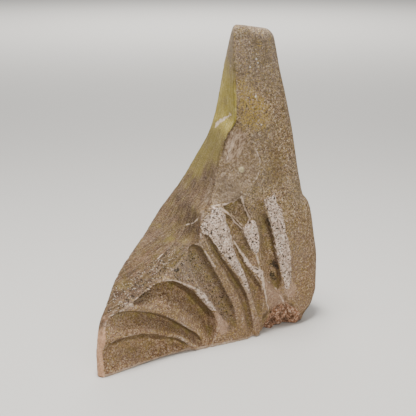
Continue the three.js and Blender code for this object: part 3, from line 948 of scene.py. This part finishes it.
def graniteFinish():
    # carved granite, weathered outdoors: dull and rough, with dark grains in pale feldspar under a
    # brown crust, worn pale on the arrises and green with algae where rain runs
    material = bpy.data.materials.new("weathered granite")
    material.use_nodes = True
    tree = material.node_tree
    tree.nodes.clear()
    place = addNode(tree, "ShaderNodeTexCoord").outputs["Object"]
    height = addNode(tree, "ShaderNodeSeparateXYZ", {}, {0: place}).outputs["Z"]
    plus = {"operation": "ADD", "use_clamp": True}
    minus = {"operation": "SUBTRACT", "use_clamp": True}
    times = {"operation": "MULTIPLY", "use_clamp": True}

    drawn = {}
    for name, (kind, inputs) in directions.items():
        inputs = {"Vector": place, **inputs}
        drawn[name] = addNode(tree, "ShaderNodeMapping", {"vector_type": kind}, inputs).outputs[0]
    pattern = {}
    for name, (size, detail, rough, way) in patterns.items():
        inputs = {"Vector": drawn[way], "Scale": 1 / (size * mm), "Detail": detail, "Roughness": rough}
        pattern[name] = addNode(tree, "ShaderNodeTexNoise", {}, inputs).outputs[0]
    lies = {}
    for name in masks:
        lies[name] = addNode(tree, "ShaderNodeAttribute", {"attribute_name": name}).outputs["Fac"]

    def share(*parts):
        # the product of its parts: numbers, values, and values that fade in from one bound to another
        total = None
        for part in parts:
            if isinstance(part, tuple):
                settings = {"interpolation_type": "SMOOTHSTEP"}
                inputs = dict(enumerate(part))
                part = addNode(tree, "ShaderNodeMapRange", settings, inputs).outputs[0]
            if total is not None:
                part = addNode(tree, "ShaderNodeMath", times, {0: total, 1: part}).outputs[0]
            total = part
        return total

    def layered(base, layers):
        # colours laid one over another, each as strong as the product of its parts
        for colour, *parts in layers:
            over = linearColour(colour) if isinstance(colour, str) else colour
            inputs = {0: share(*parts), 6: base, 7: over}  # 6 and 7 are its two colours
            base = addNode(tree, "ShaderNodeMix", {"data_type": "RGBA"}, inputs).outputs[2]
        return base

    # masks with a ragged edge
    ragged = {}
    for name, (size, low, high, amount) in raggedEdges.items():
        inputs = {"Vector": place, "Scale": 1 / (size * mm), **finish["teeth"]}
        teeth = addNode(tree, "ShaderNodeTexNoise", {}, inputs).outputs[0]
        inputs = {0: teeth, 3: -amount, 4: amount}
        teeth = addNode(tree, "ShaderNodeMapRange", {"clamp": False}, inputs).outputs[0]
        inputs = {0: lies[name], 1: teeth}
        edge = addNode(tree, "ShaderNodeMath", {"operation": "ADD"}, inputs).outputs[0]
        ragged[name] = share((edge, low, high))

    # crystals of about one size, each with random numbers of its own
    random, proud = {}, {}
    for name in ("grain", "fineGrain", "speck"):
        inputs = {"Vector": place, "Scale": 1 / (finish[name] * mm)}
        cells = addNode(tree, "ShaderNodeTexVoronoi", {}, inputs).outputs
        random[name] = addNode(tree, "ShaderNodeSeparateColor", {}, {0: cells["Color"]}).outputs
        proud[name] = cells["Distance"]
    sources = {
        "weathered": random["grain"][0],
        "weatheredFine": random["fineGrain"][0],
        "pale": random["speck"][0],
        "broken": random["grain"][2],
        "chips": pattern["chips"],
    }
    stones = {}
    for name, value in sources.items():
        stones[name] = addNode(tree, "ShaderNodeValToRGB", {}, {0: value}, grainColours[name]).outputs[0]

    # brown crust: large drifts of brown and grey, greyer at the head, and painted reddish bounce light
    # low down
    inputs = {0: ragged["panel"], 1: ragged["grey"]}
    grey = addNode(tree, "ShaderNodeMath", {"operation": "MAXIMUM"}, inputs).outputs[0]
    crust = layered(stones["weathered"], [
        (stones["weatheredFine"], 0.45),
        ("7b6f62", (pattern["drift"], 0.38, 0.62), 0.38),
        ("8b8177", (height, 0.56, 0.66), 0.32),
        ("55432d", (pattern["patina"], 0.48, 0.72), 0.4),
        # the brown patch right of the spall: dark weathering, and painted shade of its shallow valley
        ("5a4522", ragged["shade"], 0.4),
        ("786d63", grey, 0.5),
        # painted reddish bounce light on the lower part
        ("a8734f", (height, 0.34, 0.04), 0.2),
    ])

    # streaks along the sloping side, left by tooling and rain, and darker low down
    side = lies["band"]
    streak, fineStreak = pattern["streak"], pattern["fineStreak"]
    crust = layered(crust, [
        ("66503d", side, 0.45),
        ("4e4134", (pattern["slopeDirt"], 0.42, 0.6), side, 0.3),
        ("41362a", (streak, 0.48, 0.62), side, 0.5),
        ("c4b299", (fineStreak, 0.56, 0.7), side, 0.5),
    ])
    settings = {"data_type": "RGBA", "blend_type": "MULTIPLY"}
    inputs = {0: share(side, (height, 0.5, 0.44)), 6: crust, 7: linearColour("dfd6d2")}
    crust = addNode(tree, "ShaderNodeMix", settings, inputs).outputs[2]

    # painted shade in broad hollows, then algae, moss and lichen
    algae = share((pattern["algae"], 0.42, 0.62))
    hollow = share((lies["hollow"], 0.0, -5.0))
    golden = addNode(tree, "ShaderNodeMath", minus, {0: 0.4, 1: share(side, 0.28)}).outputs[0]
    moss = share(ragged["moss"], side)
    lowMoss = share(moss, (height, 0.48, 0.43))
    inputs = {0: 0.55, 1: share((pattern["mossThick"], 0.35, 0.55))}
    thick = addNode(tree, "ShaderNodeMath", plus, inputs).outputs[0]
    thin = addNode(tree, "ShaderNodeMath", minus, {0: 1.0, 1: share(lowMoss, 0.55)}).outputs[0]
    strip = share(moss, thick, thin)
    crust = layered(crust, [
        # painted shade: darker brown in broad hollows
        ("8b7350", hollow, 0.26),
        ("837a36", algae, hollow, 0.4),
        ("86743a", algae, 0.16),
        ("c0a248", (random["fineGrain"][1], 0.84, 0.9), golden),
        ("ad9a42", strip, 0.8),
        ("77702f", strip, (streak, 0.5, 0.62), 0.5),
        ("d6c78c", strip, (fineStreak, 0.52, 0.66), 0.55),
        ("685c2c", lowMoss, 0.5),
        ("b99b45", (random["grain"][1], 0.3, 0.7), ragged["ochre"], 0.6),
    ])

    # dark mica and bright feldspar that show through the crust, then painted shade in deep lines, on
    # walls that face down and under the lowest arris, and dark cracks
    shows = addNode(tree, "ShaderNodeMath", plus, {0: 0.3, 1: share(grey, 0.6)}).outputs[0]
    crust = layered(crust, [
        ("241f1a", (random["speck"][2], 0.16, 0.1), shows, 0.85),
        ("dccdbb", (random["fineGrain"][2], 0.9, 0.95), shows, 0.45),
        # painted shade in deep lines and creases
        ("2f2518", (lies["relief"], -1.2, -3.0), finish["creaseShade"]),
        # painted shade on walls that face down
        ("34230f", (lies["under"], 0.2, 0.9), 0.5),
        # painted shadow under the lowest arris of the toe
        ("3a2413", lies["lip"], 0.5),
        ("3a2f20", lies["crack"], 0.6),
        ("2b2824", ragged["darkSpot"], (random["speck"][1], 0.2, 0.4), 0.8),
    ])

    # pale where the crust has gone from arrises, scrapes and breaks
    pale = layered(stones["pale"], [("978472", (pattern["patchy"], 0.45, 0.62), 0.4)])
    splinters = [("d9bda3", (pattern["splinters"], 0.42, 0.58))]
    broken = layered(stones["broken"], [
        ("462c1b", (pattern["dirtyBreak"], 0.48, 0.6), 0.65),
        # painted shade in the hollows of the break
        ("2c1b11", (lies["relief"], 0.2, -2.2), 0.7),
    ])
    lessOnSide = addNode(tree, "ShaderNodeMath", minus, {0: 1.0, 1: share(side, 0.5)}).outputs[0]
    low = (height, 0.42, 0.32)
    colour = layered(crust, [
        (pale, ragged["relief"], (pattern["wornGaps"], 0.45, 0.6), 0.5, low, lessOnSide),
        (layered(stones["broken"], [("d8bda8", 0.35)]), ragged["tinted"], 0.5),
        (stones["chips"], ragged["spall"], 0.5),
        (layered(linearColour("644c39"), splinters), ragged["split"], 0.5),
        ("5f5143", ragged["dull"], 0.4),
        ("d9c0aa", ragged["foot"], 0.45),
        (pale, ragged["worn"], 0.92),
        ("dac4b0", ragged["scraped"], 0.85),
        (layered(stones["broken"], [("f0bd95", 0.55)]), ragged["toe"], 0.85),
        (layered(pale, [("d2c98a", 0.5)]), ragged["knob"], 0.8),
        ("f3efe8", ragged["whiteSpot"], 0.75),
        (broken, ragged["fresh"], 0.92),
    ])

    # bump: pits, grains standing proud, and the streaks' fine lines
    bumps = pattern["pits"]
    for risen, much in ((proud["grain"], finish["grainProud"]), (streak, side), (fineStreak, side)):
        inputs = {0: risen, 1: much, 2: bumps}
        bumps = addNode(tree, "ShaderNodeMath", {"operation": "MULTIPLY_ADD"}, inputs).outputs[0]
    inputs = {"Height": bumps, "Strength": finish["bump"], "Distance": finish["bumpHeight"] * mm}
    bump = addNode(tree, "ShaderNodeBump", {}, inputs).outputs[0]
    inputs = {"Base Color": colour, "Normal": bump, "Roughness": finish["roughness"]}
    inputs["Specular IOR Level"] = finish["shine"]
    shader = addNode(tree, "ShaderNodeBsdfPrincipled", {}, inputs).outputs[0]
    addNode(tree, "ShaderNodeOutputMaterial", {}, {"Surface": shader})
    return material


granite = graniteFinish()
stone = addObject("carvedKeystone", stoneMesh)
weather = addModifier(stone, "weathered surface", "NODES", {"node_group": surfaceTree(granite)})
for item in weather.node_group.interface.items_tree:
    if item.in_out == "INPUT" and item.name in surface:
        weather[item.identifier] = float(surface[item.name])
finished = evaluatedMesh(stone)
stone.modifiers.remove(weather)
stone.data = finished

# the rough surface stays inside the CAD solid's box
setPlaces(finished, np.clip(vertexVectors(finished, "co"), *np.array(cadBox)))
print("stone finished", len(finished.vertices), len(finished.polygons))

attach(stone, "root")
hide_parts("keystone")

# floor, light and camera, in metres
studio = {
    "floorColour": "d8d4cd",
    "floorReach": 40,
    "floorRoughness": 0.8,
    "skyColour": "e6e8ea",
    "sky": 0.5,
    "cameraPlace": (-1.0965, -1.5607, 0.83),
    "lookAlong": (0.592, 0.806),
    "pitchDown": 15.996,  # degrees
    "lens": 77.88,  # mm, as is the sensor
    "sensor": 36,
}
lamps = {
    "key": {"place": (-0.3, -0.15, 2.8), "aim": (0, 0, 0.3), "size": 0.8, "watts": 122},
    "fill": {"place": (-0.9, -2.7, 1.3), "aim": (0, 0, 0.3), "size": 2.0, "watts": 31},
    "behind": {"place": (5.0, 7.0, 4.5), "aim": (5.3, 7.4, 0), "size": 6.0, "watts": 600},
}


def placeAndAim(piece, place, way):
    piece.location = place
    piece.rotation_euler = Vector(way).to_track_quat("-Z", "Y").to_euler()


reach = studio["floorReach"]
sides = [(-1, -1), (1, -1), (1, 1), (-1, 1)]
floor = meshObject("floor", [(x * reach, y * reach, 0) for x, y in sides], [(0, 1, 2, 3)])
floorFinish = bpy.data.materials.new("pale studio floor")  # matt board, even and without gloss
floorFinish.use_nodes = True
floorInputs = floorFinish.node_tree.nodes["Principled BSDF"].inputs
floorInputs["Base Color"].default_value = linearColour(studio["floorColour"])
floorInputs["Roughness"].default_value = studio["floorRoughness"]
floor.data.materials.append(floorFinish)

sky = bpy.data.worlds.new("studio")
bpy.context.scene.world = sky
sky.use_nodes = True
background = sky.node_tree.nodes["Background"].inputs
background["Color"].default_value = linearColour(studio["skyColour"])
background["Strength"].default_value = studio["sky"]

for name, lamp in lamps.items():
    light = bpy.data.lights.new(name, "AREA")
    light.energy = lamp["watts"]
    light.size = lamp["size"]
    placeAndAim(addObject(name, light), lamp["place"], Vector(lamp["aim"]) - Vector(lamp["place"]))

lens = bpy.data.cameras.new("camera")
lens.sensor_width = studio["sensor"]
lens.lens = studio["lens"]
camera = addObject("camera", lens)
pitch = math.radians(studio["pitchDown"])
along = Vector(studio["lookAlong"]).normalized() * math.cos(pitch)
placeAndAim(camera, studio["cameraPlace"], (along.x, along.y, -math.sin(pitch)))
bpy.context.scene.camera = camera
print("studio ready")
